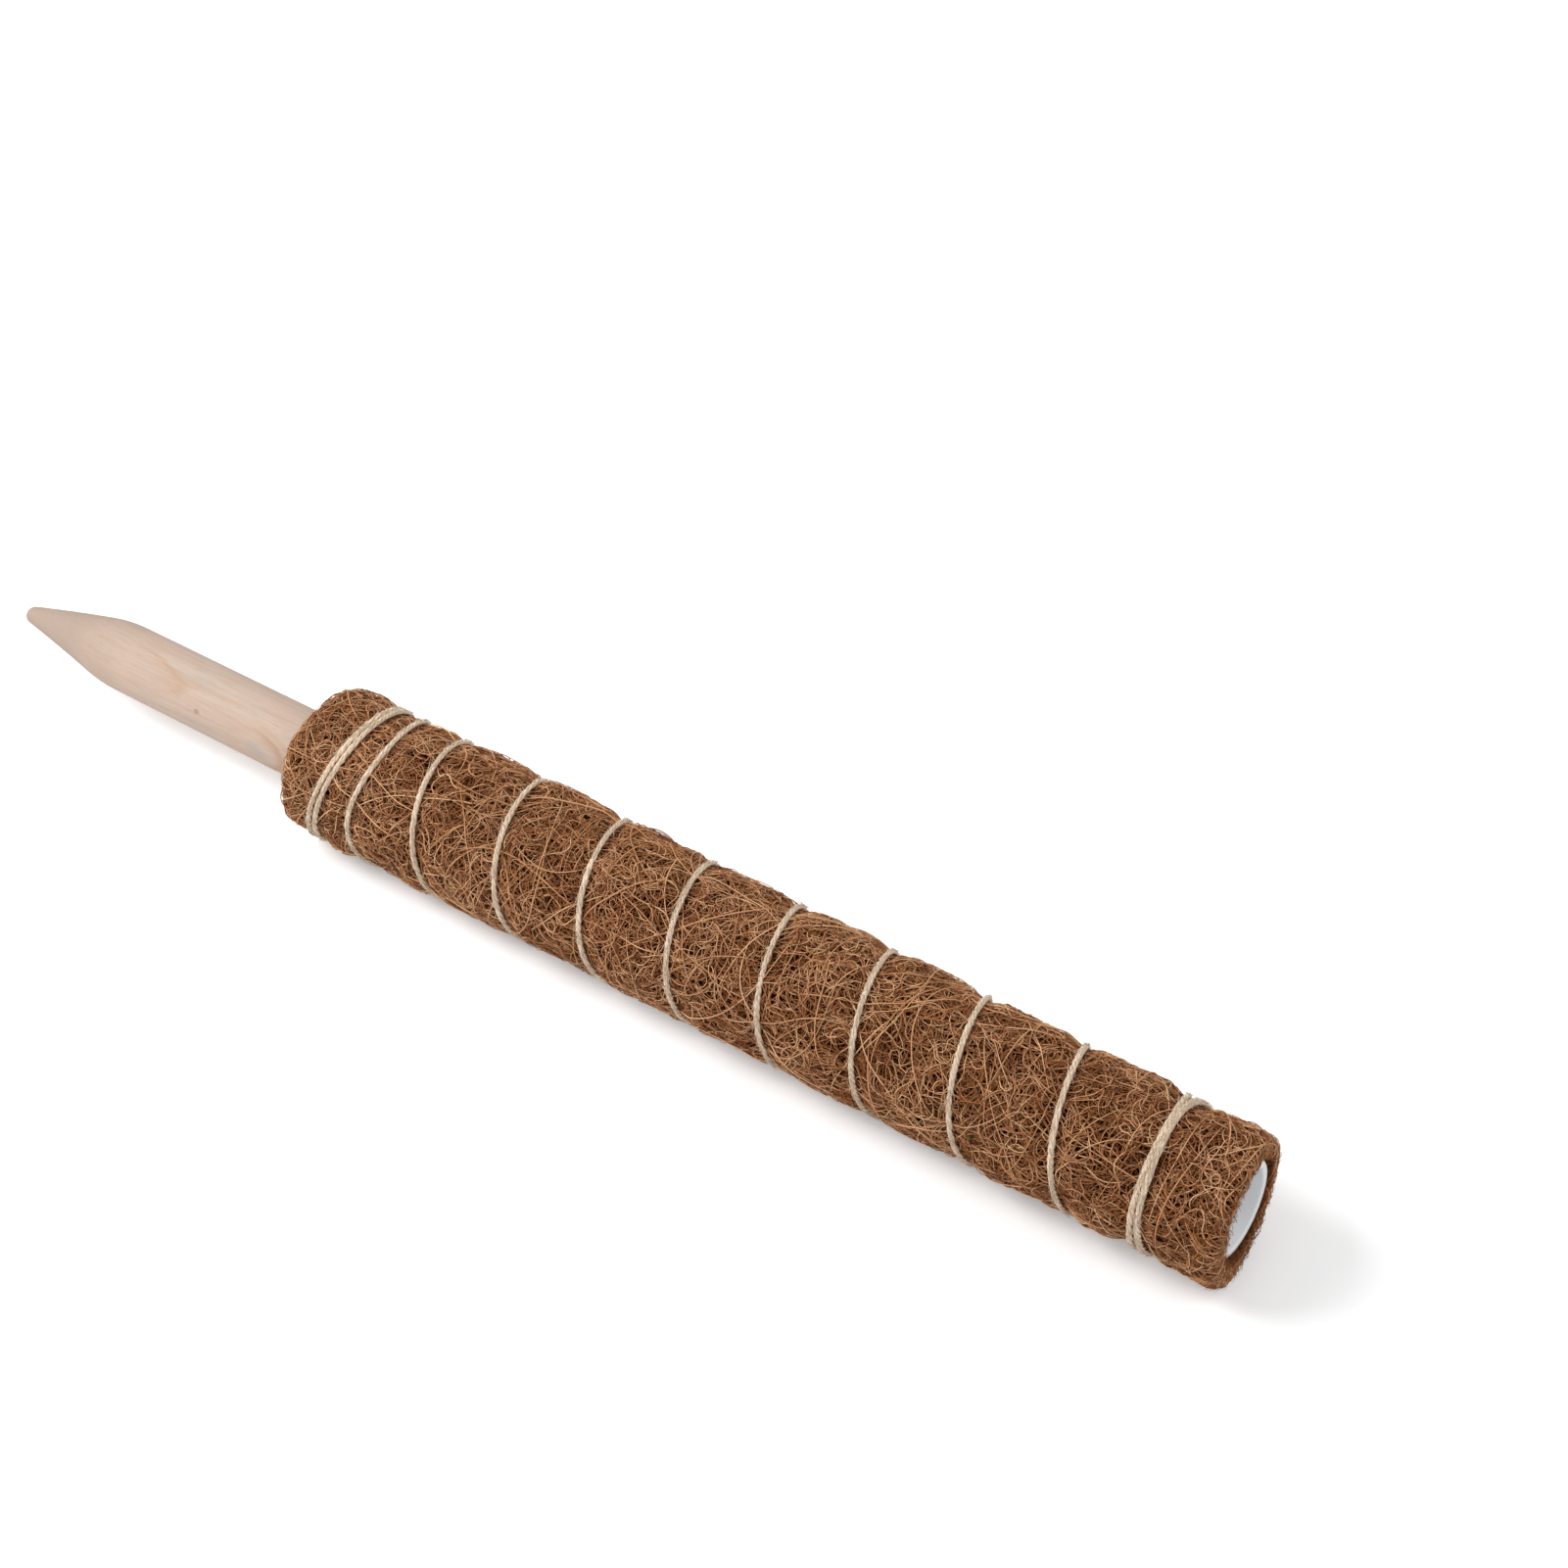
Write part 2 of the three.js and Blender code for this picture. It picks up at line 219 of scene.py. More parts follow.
class TwineSettings(PropertyGroup):
    """Route, sizes and colours of the jute twine"""

    radius: size_mm("Radius", "Radius of the twine", 0.65)
    turns: amount("Turns", "Turns round the pole", 14 - 15 / 360)
    start_angle: degrees("Start angle", "Angle of the first knot", -120)
    start_station: size_mm("Start station", "Station of the first turn", 7.4)
    end_inset: size_mm("End inset", "Last turn's distance from the open end", 10.2)
    sink: size_mm("Sink", "Depth of the centre line in the coir", 0.65)
    floor_gap: size_mm("Floor gap", "Least height of the twine over the floor", 0.25)
    band_pitch: size_mm("Band pitch", "Pitch of the close turns", 2.15)
    lower_draw: size_mm("Lower draw", "How far the first turn is drawn to the second", 0.85)
    upper_draw: size_mm("Upper draw", "How far each last turn is drawn to the one before", 0.8)
    crest_draw: size_mm("Crest draw", "How far the last turns are drawn together on the crest", 1.4)
    foot_spread: size_mm("Foot spread", "How far the last turns part on the lower side", 0.5)
    opening: turn_span("Opening turns", "Turns over which the pitch opens", (1.03, 3.68))
    closing: turn_span("Closing turns", "Turns over which the pitch closes", (11.08, 11.51))
    lean: size_mm("Lean", "Lean of the first turns along the pole", 5.2)
    lean_fade: turn_span("Lean fade", "Turns over which the lean ends", (2.36, 2.77))
    ply_pitch: size_mm("Ply pitch", "Length of one twist of the plies", 5.2)
    hairs: count("Hairs", "Loose hairs on the twine", 2700)
    seed: count("Seed", "Seed of the hairs", 5)
    colour: tint("Twine", "Usual colour of the jute", (0.71, 0.54, 0.38))
    # Painted shade between the jute's fibres, laid on as dark streaks
    dark_and_shade_colour: tint("Dark twine", "Jute between its fibres", (0.35, 0.23, 0.14))
    pale_colour: tint("Pale twine", "Bleached jute fibres", (0.92, 0.79, 0.62))


class StakeSettings(PropertyGroup):
    """Sizes and colours of the wooden stake"""

    point_length: size_mm("Point length", "Length of the cut point", 33)
    tip_radius: size_mm("Tip radius", "Radius of the blunt tip", 1.7)
    tip_round: size_mm("Tip round", "Length over which the tip is rounded", 1.6)
    shoulder: size_mm("Shoulder", "Soft length between point and shaft", 9)
    tip_offset: size_mm("Tip offset", "How far the hand-cut tip lies off the axis", 0.7)
    end_chamfer: size_mm("End chamfer", "Chamfer of the end in the pipe", 0.8)
    unevenness: size_mm("Unevenness", "Waviness of the turned surface", 0.06)
    oval_place: place_mm("Oval place", "Middle of the oval of grain on the point", (-116.5, -5.4, 21.2))
    oval_size: place_mm("Oval size", "Half lengths of the oval of grain", (15.5, 4, 4))
    knot_place: place_mm("Knot place", "Middle of the small knot", (-78.5, -7.8, 16))
    knot_size: place_mm("Knot size", "Half lengths of the grain round the small knot", (8.5, 4.6, 4.6))
    speck_place: place_mm("Speck place", "Place of a dark speck", (-95.9, -7.36, 18.33))
    colour: tint("Wood", "Usual colour of the wood", (0.52, 0.41, 0.34))
    pink_colour: tint("Pink wood", "Warmer patches of the wood", (0.54, 0.395, 0.315))
    grain_colour: tint("Grain", "Colour of the late wood", (0.44, 0.30, 0.21))
    tan_colour: tint("Tan grain", "Grain round the small knot", (0.42, 0.25, 0.145))
    grey_colour: tint("Grey wood", "Greyish stain in the wood", (0.38, 0.345, 0.31))
    tip_colour: tint("Handled tip", "Colour of the worn tip", (0.38, 0.287, 0.23))
    knot_colour: tint("Small knot", "Colour of the speck", (0.30, 0.21, 0.14))


class PipeSettings(PropertyGroup):
    """Sizes and colours of the plastic pipe"""

    wall: size_mm("Wall", "Thickness of the pipe's wall", 1.8)
    chamfer: size_mm("Chamfer", "Broken edge of the sawn ends", 0.4)
    saw_roughness: size_mm("Saw roughness", "Unevenness of the sawn ends", 0.04)
    saw_reach: size_mm("Saw reach", "How far the open end stands on towards the coir's end", 0.6)
    saw_slant: size_mm("Saw slant", "How far that end leans out at its lower side", 0.4)
    colour: tint("Plastic", "Colour of the pipe", (0.91, 0.91, 0.905))
    # Painted shade: the bore is drawn greyer than the outside, though the plastic is one colour
    bore_shade_colour: tint("Bore", "Greyer plastic inside the pipe", (0.79, 0.81, 0.825))
    dust_colour: tint("Dust", "Colour of dust on the pipe", (0.66, 0.62, 0.56))


class StageSettings(PropertyGroup):
    """Camera, lights and floor"""

    camera: place_mm("Camera", "Place of the camera", (267.8, -301.5, 382.1))
    pitch: degrees("Pitch", "Camera's angle below the horizon", 40.54)
    yaw: degrees("Yaw", "Camera's turn about the upright", 35.09)
    lens: amount("Lens", "Focal length in millimetres", 60.71)
    sensor: amount("Sensor", "Width of the sensor in millimetres", 36)
    floor_colour: tint("Floor", "Colour of the floor", (0.93, 0.93, 0.93))
    floor_lift: amount("Floor lift", "Light added to the floor as the camera sees it", 0.25)
    sky: amount("Sky", "Strength of the even light", 0.5)
    key: power("Key", "Power of the large lamp", 7.4)
    fill: power("Fill", "Power of the second lamp", 1.8)


# Small helpers


def smoothstep(value, low, high):
    share = np.clip((value - low) / (high - low), 0, 1)
    return share * share * (3 - 2 * share)


def shares(points):
    """Places along a strand from 0 to 1, as a row."""
    return np.linspace(0, 1, points)[None, :]


class Draws:
    """Random numbers, one for each strand, as columns."""

    def __init__(self, rng, strands):
        self.rng = rng
        self.shape = (strands, 1)

    def even(self, low, high):
        return self.rng.uniform(low, high, self.shape)

    def spread(self, size):
        return self.rng.normal(0, size, self.shape)

    def ripple(self, low, high, share):
        """A wave along each strand, low to high times over its length, from a random start."""
        return np.sin(FULL_TURN * (self.even(low, high) * share + self.even(0, 1)))


def on_pole(station, radius, angle):
    """Points round the pole's axis: angle 0 is the top, a quarter turn is the side towards the camera."""
    return np.stack(
        [COIR_START + station, -radius * np.sin(angle), AXIS_HEIGHT + radius * np.cos(angle)], axis=-1
    )


def over_floor(points, gap):
    """Lifts points that lie lower than a gap over the floor."""
    points[..., 2] = np.maximum(points[..., 2], gap)
    return points


def add_piece(name, mesh, material, body, slot, *nodes):
    """Links a mesh as a piece of the pole, with its finish, its body and the CAD nodes it stands for."""
    piece = bpy.data.objects.new(name, mesh)
    bpy.context.scene.collection.objects.link(piece)
    mesh.materials.append(material)
    mesh.shade_smooth()
    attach(piece, body)
    if nodes:
        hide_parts(*nodes)


def weld(shape):
    bmesh.ops.remove_doubles(shape, verts=shape.verts[:], dist=WELD)


def mesh_of(name, shape):
    """A bmesh written to a new mesh."""
    mesh = bpy.data.meshes.new(name)
    shape.to_mesh(mesh)
    shape.free()
    return mesh


def turned_mesh(name, profile, steps, closed):
    """A profile of (station, radius) points spun about the pole's axis."""
    shape = bmesh.new()
    points = [
        shape.verts.new((COIR_START + station, 0, AXIS_HEIGHT + radius)) for station, radius in profile
    ]
    for first, second in zip(points, points[1:]):
        shape.edges.new((first, second))
    if closed:
        shape.edges.new((points[-1], points[0]))
    bmesh.ops.spin(
        shape, geom=shape.verts[:] + shape.edges[:], cent=(0, 0, AXIS_HEIGHT), axis=(1, 0, 0),
        angle=FULL_TURN, steps=steps, use_merge=True,
    )
    weld(shape)
    bmesh.ops.recalc_face_normals(shape, faces=shape.faces[:])
    return mesh_of(name, shape)


def strand_mesh(name, paths, radii, sides, along, tones, tone_spread=PALETTE_SPREAD):
    """One mesh of tubes with closed ends, swept along paths of equal point count, on the palette map.

    Radii, along and tones may be a row for all strands, or a column with one value for each strand.
    """
    radii, along, tones = (np.broadcast_to(part, paths.shape[:2]) for part in (radii, along, tones))
    section = bpy.data.curves.new(name + "_section", "CURVE")
    section.dimensions = "2D"
    ring = section.splines.new("POLY")
    ring.points.add(sides - 1)
    for index, point in enumerate(ring.points):
        corner = FULL_TURN * index / sides
        point.co = (math.cos(corner), -math.sin(corner), 0, 1)
    ring.use_cyclic_u = True
    curve = bpy.data.curves.new(name + "_curve", "CURVE")
    curve.dimensions = "3D"
    curve.bevel_mode = "OBJECT"
    curve.use_fill_caps = True
    points = np.concatenate([paths, np.ones(paths.shape[:2] + (1,))], axis=2)
    for path, radius in zip(points, radii):
        spline = curve.splines.new("POLY")
        spline.points.add(len(path) - 1)
        spline.points.foreach_set("co", path.ravel())
        spline.points.foreach_set("radius", radius)
    helpers = [bpy.data.objects.new(data.name, data) for data in (section, curve)]
    curve.bevel_object = helpers[0]
    for helper in helpers:
        bpy.context.scene.collection.objects.link(helper)
    shown = helpers[1].evaluated_get(bpy.context.evaluated_depsgraph_get())
    mesh = bpy.data.meshes.new_from_object(shown)
    mesh.name = name
    for helper in helpers:
        bpy.data.objects.remove(helper)
    for data in (curve, section):
        bpy.data.curves.remove(data)
    # The sweep has laid a map of its own
    mesh.uv_layers.remove(mesh.uv_layers[0])
    write_palette(mesh, sides, along, tones, tone_spread)
    return mesh


def write_palette(mesh, sides, along, tones, tone_spread):
    """Lays every strand on the palette map, then joins its caps. along and tones give U and V per point."""
    strands, points = along.shape
    # The sweep lists the caps first, from the last strand to the first, and then the rings in order
    starts = np.arange(strands)[::-1] * points
    caps = np.stack([starts + points - 1, starts], axis=1).ravel()
    rings = np.repeat(np.concatenate([caps, np.arange(strands * points)]), sides)
    if len(rings) != len(mesh.vertices):
        raise RuntimeError(f"{mesh.name}: the sweep has {len(mesh.vertices)} vertices, not {len(rings)}")
    corners = np.zeros(len(mesh.loops), np.int32)
    mesh.loops.foreach_get("vertex_index", corners)
    side = FULL_TURN * (corners % sides) / sides + PALETTE_TURN
    places = np.stack([along.ravel()[rings[corners]], tones.ravel()[rings[corners]]], axis=1)
    places += np.stack([PALETTE_SPREAD * np.cos(side), tone_spread * np.sin(side)], axis=1)
    mesh.uv_layers.new(name=PALETTE_MAP).uv.foreach_set("vector", places.astype(np.float32).ravel())
    shape = bmesh.new()
    shape.from_mesh(mesh)
    weld(shape)
    shape.to_mesh(mesh)
    shape.free()


# Route of the twine, and the mat that it draws in


def rise(turn, span):
    """Integral of a smooth rise from 0 to 1 between two turn counts."""
    low, high = span
    share = np.clip((turn - low) / (high - low), 0, 1)
    return (high - low) * (share**3 - share**4 / 2) + np.maximum(0, turn - high)


def side_share(angle, side):
    """1 on one side of the pole, and 0 from a quarter turn away."""
    return np.maximum(0, np.cos(angle - side)) ** 2


def twine_angle(turn, twine):
    return twine.start_angle + FULL_TURN * turn


def twine_station(turn, twine):
    """Close leaning turns at the stake end, open turns, close turns at the open end."""
    angle = twine_angle(turn, twine)
    run = COIR_LENGTH - twine.end_inset - twine.start_station
    open_turns = rise(twine.turns, twine.opening) - rise(twine.turns, twine.closing)
    extra_pitch = (run - twine.band_pitch * twine.turns) / open_turns
    opened = rise(turn, twine.opening) - rise(turn, twine.closing)
    lean = twine.lean * (1 - smoothstep(turn, *twine.lean_fade))
    drawn = twine.lower_draw * (1 - smoothstep(turn, *LOWER_FADE))
    past = np.maximum(0, turn - UPPER_START)
    swing = 1 + UPPER_SWING * np.cos(angle - UPPER_SIDE)
    pull = past + LAST_PULL * np.maximum(0, past - 1) ** LAST_POWER
    drawn = drawn - twine.upper_draw * swing * pull
    parted = twine.foot_spread * side_share(angle, FOOT_SIDE)
    parted = parted - twine.crest_draw * side_share(angle, CREST_SIDE)
    drawn = drawn + parted * smoothstep(turn, *BAND_FADE)
    wound = twine.start_station + twine.band_pitch * turn + extra_pitch * opened
    return wound + lean * np.cos(angle) + drawn


def mat_crown(station, mat):
    """Coir radius with no twine on it: a slight taper, rounded over at both ends."""
    bore = PIPE_RADIUS + mat.pipe_fit
    inside = np.clip(station, 0, COIR_LENGTH)
    share = inside / COIR_LENGTH
    body = bore + mat.thick_at_stake * (1 - share) + mat.thick_at_open_end * share
    lower = np.maximum(0, 1 - inside / mat.round_length)
    upper = np.maximum(0, 1 - (COIR_LENGTH - inside) / mat.open_round)
    rounded = mat.round_depth * (1 - np.sqrt(1 - lower * lower))
    return body - rounded - mat.open_depth * (1 - np.sqrt(1 - upper * upper))


def twine_seat(station, angle, mat, twine):
    """Radius of the twine's centre line: sunk in the coir, pressed up where the pole lies on the floor."""
    sunk = mat_crown(station, mat) - twine.sink
    down = np.maximum(-np.cos(angle), UNDERSIDE)
    pressed = (AXIS_HEIGHT - twine.radius - twine.floor_gap) / down
    return np.where(-np.cos(angle) > UNDERSIDE, np.minimum(sunk, pressed), sunk)


def drawn_in(station, angle, mat, twine):
    """How far the twine draws the coir in at each place."""
    crown = mat_crown(station, mat)
    first = (angle - twine.start_angle) / FULL_TURN
    first = first - np.floor(first)
    depth = np.zeros_like(station)
    for whole in range(int(twine.turns) + 1):
        turn = first + whole
        strand = twine_station(turn, twine)
        floor = crown - twine_seat(strand, angle, mat, twine) + twine.radius - mat.fibre_drop
        near = 1 - smoothstep(np.abs(station - strand), mat.groove_flat, mat.groove_reach)
        depth = np.maximum(depth, np.where(turn <= twine.turns, floor * near, 0))
    return depth


class MatSurface:
    """The mat's outside as one line from bore edge to bore edge, turned round the pole."""

    LINE_POINTS = 400
    LUMP_WAVES = 9
    # How an end of the line rounds over into the bore: depth in the bore, and height over it
    BORE_EDGE = (mm(3.0, 0), mm(0.9, 0.25), mm(0.1, 0.9))

    def __init__(self, mat, twine):
        self.mat = mat
        self.twine = twine
        bore = PIPE_RADIUS + mat.pipe_fit
        stations = np.linspace(0, COIR_LENGTH, self.LINE_POINTS)
        low = np.array([(depth, bore + height) for depth, height in self.BORE_EDGE])
        high = np.array([(COIR_LENGTH - station, radius) for station, radius in reversed(low)])
        line = np.concatenate([low, np.stack([stations, mat_crown(stations, mat)], axis=1), high])
        steps = np.linalg.norm(np.diff(line, axis=0), axis=1)
        self.places = np.concatenate([[0], np.cumsum(steps)])
        self.length = self.places[-1]
        self.stations, self.radii = line.T
        slope = np.gradient(line, self.places, axis=0)
        slope /= np.linalg.norm(slope, axis=1)[:, None]
        self.out_station, self.out_radius = -slope[:, 1], slope[:, 0]
        rng = np.random.default_rng(mat.seed)
        self.waves = [self.wave(rng) for _ in range(self.LUMP_WAVES)]

    def wave(self, rng):
        """One wave of the mat's lumps: rate along the pole, waves round it, phase and height."""
        return rng.uniform(60, 420), rng.integers(1, 7), rng.uniform(0, FULL_TURN), rng.uniform(0.3, 1)

    def lumps(self, station, angle):
        total = sum(
            height * np.sin(rate * station + around * angle + phase)
            for rate, around, phase, height in self.waves
        )
        return self.mat.lump * total / 2

    def rim_shade_tone(self, place):
        """Share of a fibre's tone that is left: fibres on the two ends are painted dark next to the bore,
        as shade.
        """
        inset = np.minimum(place, self.length - place)
        return RIM_SHADE_TONE + (1 - RIM_SHADE_TONE) * smoothstep(inset, self.mat.shade_rim_inner, self.mat.shade_rim_outer)

    def at(self, place, values):
        """Values of the line's points, read at places along it."""
        return np.interp(place, self.places, values)

    def points(self, place, angle, depth):
        """Points at a depth under the mat's surface, where a negative depth stands out of it."""
        station = self.at(place, self.stations)
        out_station = self.at(place, self.out_station)
        out_radius = self.at(place, self.out_radius)
        side = np.clip(out_radius, 0, 1)
        drawn = self.mat.fibre_drop + drawn_in(station, angle, self.mat, self.twine)
        depth = depth + side * (drawn - self.lumps(station, angle))
        bulge = self.mat.end_bulge + self.mat.end_slant * np.cos(angle - self.mat.slant_angle)
        depth = depth - bulge * np.clip(out_station, 0, 1)
        depth = depth + self.mat.stake_end_draw * np.clip(-out_station, 0, 1)
        radius = self.at(place, self.radii) - out_radius * depth
        return over_floor(on_pole(station - out_station * depth, radius, angle), gap=0.3 * MM)


# Materials


class NodeSheet:
    """The node tree of a material or a world, with short calls to add and join nodes."""

    def __init__(self, owner):
        owner.use_nodes = True
        self.owner = owner
        self.tree = owner.node_tree

    def feed(self, node, inputs):
        """Joins each of a node's inputs to a socket, or sets it to a constant."""
        for name, value in inputs.items():
            socket = node.inputs[name]
            if isinstance(value, NodeSocket):
                self.tree.links.new(value, socket)
            else:
                socket.default_value = (*value, 1) if socket.type == "RGBA" else value

    def node(self, kind, inputs, **settings):
        made = self.tree.nodes.new(kind)
        for key, value in settings.items():
            setattr(made, key, value)
        self.feed(made, inputs)
        return made

    def finish(self, inputs):
        """Feeds the shader and gives the material."""
        self.feed(self.tree.nodes["Principled BSDF"], inputs)
        return self.owner

    def object_places(self, scale=(1, 1, 1), turn=(0, 0, 0), move=(0, 0, 0)):
        """Object coordinates through a Mapping node."""
        places = self.node("ShaderNodeTexCoord", {}).outputs["Object"]
        inputs = {"Vector": places, "Scale": scale, "Rotation": turn, "Location": move}
        return self.node("ShaderNodeMapping", inputs).outputs["Vector"]

    def palette_places(self, scale=(1, 1, 1)):
        """The piece's own palette map through a Mapping node."""
        places = self.node("ShaderNodeUVMap", {}, uv_map=PALETTE_MAP).outputs["UV"]
        return self.node("ShaderNodeMapping", {"Vector": places, "Scale": scale}).outputs["Vector"]

    def split(self, places):
        return self.node("ShaderNodeSeparateXYZ", {0: places}).outputs

    def distance(self, places):
        return self.node("ShaderNodeVectorMath", {0: places}, operation="LENGTH").outputs["Value"]

    def seen(self):
        """1 where the camera looks, 0 for light that falls on other things."""
        return self.node("ShaderNodeLightPath", {}).outputs["Is Camera Ray"]

    def noise(self, places, detail=3, roughness=0.55, scale=1):
        inputs = {"Vector": places, "Scale": scale, "Detail": detail, "Roughness": roughness}
        return self.node("ShaderNodeTexNoise", inputs).outputs["Fac"]

    def grain(self, scale, detail=3, roughness=0.55, turn=(0, 0, 0), move=(0, 0, 0)):
        """Noise on object coordinates."""
        return self.noise(self.object_places(scale, turn, move), detail, roughness)

    def ramp(self, value, stops):
        """A colour ramp: (place, colour) stops."""
        made = self.node("ShaderNodeValToRGB", {"Fac": value})
        elements = made.color_ramp.elements
        while len(elements) < len(stops):
            elements.new(0.5)
        for element, (place, colour) in zip(elements, stops):
            element.position = place
            element.color = (*colour, 1)
        return made.outputs["Color"]

    def levels(self, value, stops):
        """A grey ramp: (place, level) stops."""
        return self.ramp(value, [(place, (level, level, level)) for place, level in stops])

    def span(self, value, low, high, start=0, stop=1):
        """Maps a value from one range to another, and holds it there."""
        inputs = {"Value": value, "From Min": low, "From Max": high, "To Min": start, "To Max": stop}
        return self.node("ShaderNodeMapRange", inputs).outputs["Result"]

    def mix(self, share, first, second, blend="MIX"):
        """Mixes two colours; the numbers are those of the node's factor and colour sockets."""
        inputs = {0: share, 6: first, 7: second}
        return self.node("ShaderNodeMix", inputs, data_type="RGBA", blend_type=blend).outputs[2]

    def maths(self, operation, first, second):
        return self.node("ShaderNodeMath", {0: first, 1: second}, operation=operation).outputs[0]

    def product(self, first, second):
        return self.maths("MULTIPLY", first, second)

    def oval(self, place, size, ragged):
        """Half the distance from an oval's middle: 0.5 lies on its edge, made ragged by noise."""
        scale = [1 / length for length in size]
        move = [-at / length for at, length in zip(place, size)]
        far = self.distance(self.object_places(scale, move=move))
        wander = self.grain((90, 260, 260))
        return self.maths("ADD", self.product(far, 0.5), self.span(wander, 0.3, 0.7, -ragged, ragged))

    def bump(self, height, strength, distance):
        inputs = {"Height": height, "Strength": strength, "Distance": distance}
        return self.node("ShaderNodeBump", inputs).outputs["Normal"]


def material_sheet(name):
    return NodeSheet(bpy.data.materials.new(name))


def fibre_finish(mat):
    """Coir fibre: its tone from the palette map, with blotches along each fibre."""
    sheet = material_sheet("coir_fibre")
    # The tones read here hold painted shade: darker for the deep layers and next to the bore
    tones = zip((0, 0.45, 0.8, 1), (mat.dark_and_shade_colour, mat.middle_colour, mat.light_colour, mat.gold_colour))
    tone = sheet.ramp(sheet.split(sheet.palette_places())["Y"], list(tones))
    blotch = sheet.noise(sheet.palette_places((14, 60, 1)))
    shade = sheet.ramp(blotch, ((0.25, (0.62, 0.56, 0.52)), (0.75, WHITE)))
    return sheet.finish({
        "Base Color": sheet.mix(1.0, tone, shade, "MULTIPLY"),
        "Roughness": sheet.span(blotch, 0.2, 0.8, 0.42, 0.62),
        "Specular IOR Level": 0.12,
    })


def core_finish(mat):
    """The inside of the mat: fine matted fibre, painted near black as the shade deep in the mat."""
    sheet = material_sheet("coir_core")
    matted = sheet.grain((300, 900, 900), 5, 0.7)
    crossed = sheet.grain((1200, 500, 500), 4, 0.7, turn=(0.4, 0.3, 0.9))
    felt = sheet.product(matted, crossed)
    return sheet.finish({
        "Base Color": sheet.ramp(felt, ((0.12, mat.core_colour), (0.42, mat.dark_and_shade_colour))),
        "Roughness": sheet.span(felt, 0.1, 0.5, 0.95, 0.8),
        "Normal": sheet.bump(felt, 0.8, 0.4 * MM),
        "Specular IOR Level": 0.05,
    })


def twine_finish(twine):
    """Jute: fine fibres along each ply, with dark streaks of painted shade between them."""
    sheet = material_sheet("jute_twine")
    fine = sheet.noise(sheet.palette_places((70, 14, 1)), 4, 0.7)
    patch = sheet.noise(sheet.palette_places((7, 0.6, 1)), 2)
    tones = ((0.3, twine.dark_and_shade_colour), (0.48, twine.colour), (0.68, twine.pale_colour))
    bleached = sheet.span(patch, 0.35, 0.75, 0.0, 0.45)
    return sheet.finish({
        "Base Color": sheet.mix(bleached, sheet.ramp(fine, tones), twine.pale_colour),
        "Roughness": sheet.span(fine, 0.2, 0.8, 0.92, 0.75),
        "Normal": sheet.bump(fine, 0.5, 0.12 * MM),
        "Sheen Weight": 0.2,
    })


def wood_finish(stake):
    """Pale bare wood: faint growth rings, fine streaks, an oval of grain on the point and a small knot."""
    sheet = material_sheet("stake_wood")
    tilted = sheet.object_places((1, 1, 1), (0, 0.05, 0.07), (0, 0.022, 0.003))
    growth = {"Vector": tilted, "Scale": 120, "Distortion": 5, "Detail": 2, "Detail Scale": 0.7}
    rings = sheet.node(
        "ShaderNodeTexWave", growth, wave_type="RINGS", rings_direction="X", wave_profile="SIN"
    )
    streak = sheet.grain((55, 1500, 1500), 5, 0.7)
    pores = sheet.grain((280, 3200, 3200), 2, 0.5)
    warm = sheet.grain((55, 190, 190), 4)
    dull = sheet.grain((70, 240, 240), move=(5, 0, 0))
    # Each layer has its pattern, where that starts and is full, its strength and its colour
    layers = (
        (rings.outputs["Fac"], 0.5, 1.0, 0.2, stake.grain_colour),
        (warm, 0.46, 0.66, 0.75, stake.pink_colour),
        (dull, 0.52, 0.7, 0.3, stake.grey_colour),
        (streak, 0.45, 0.68, 0.5, stake.grain_colour),
        (pores, 0.57, 0.72, 0.5, stake.grain_colour),
    )
    wood = stake.colour
    for pattern, start, full, strength, colour in layers:
        wood = sheet.mix(sheet.span(pattern, start, full, 0, strength), wood, colour)
    place = sheet.split(sheet.object_places())
    behind = sheet.span(place["X"], *mm(-124, -106), 0.2, 1)
    above = sheet.span(place["Z"], *mm(17, 22), 0.25, 1)
    before = sheet.span(place["X"], *mm(-138, -126), 1, 0)
    worn = sheet.span(place["X"], *mm(-139, -119), 0.85, 0)
    near_coir = sheet.span(place["X"], *mm(-81, -75), 0.15, 1)
    oval = sheet.oval(stake.oval_place, stake.oval_size, 0.05)
    knot = sheet.oval(stake.knot_place, stake.knot_size, 0.06)
    speck = sheet.oval(stake.speck_place, mm(0.9, 0.6, 0.6), 0.2)
    heart = sheet.levels(oval, ((0.2, 0.1), (0.4, 0.26), (0.47, 0.5), (0.56, 0)))
    lines = sheet.levels(oval, ((0.6, 0), (0.65, 0.3), (0.69, 0.05), (0.76, 0.25), (0.8, 0)))
    arc = sheet.levels(knot, ((0.24, 0), (0.36, 0.16), (0.47, 0.75), (0.53, 0.15), (0.62, 0.28), (0.7, 0)))
    marks = (
        (sheet.product(heart, sheet.product(behind, above)), stake.tan_colour),
        (sheet.product(lines, before), stake.tan_colour),
        (worn, stake.tip_colour),
        (sheet.product(arc, near_coir), stake.tan_colour),
        (sheet.levels(knot, ((0.04, 0.5), (0.16, 0.42), (0.26, 0))), stake.grey_colour),
        (sheet.levels(speck, ((0.2, 0.65), (0.5, 0))), stake.knot_colour),
    )
    for strength, colour in marks:
        wood = sheet.mix(strength, wood, colour)
    return sheet.finish({
        "Base Color": wood,
        "Roughness": sheet.span(streak, 0.3, 0.7, 0.6, 0.78),
        "Normal": sheet.bump(streak, 0.25, 0.08 * MM),
        "Specular IOR Level": 0.3,
    })


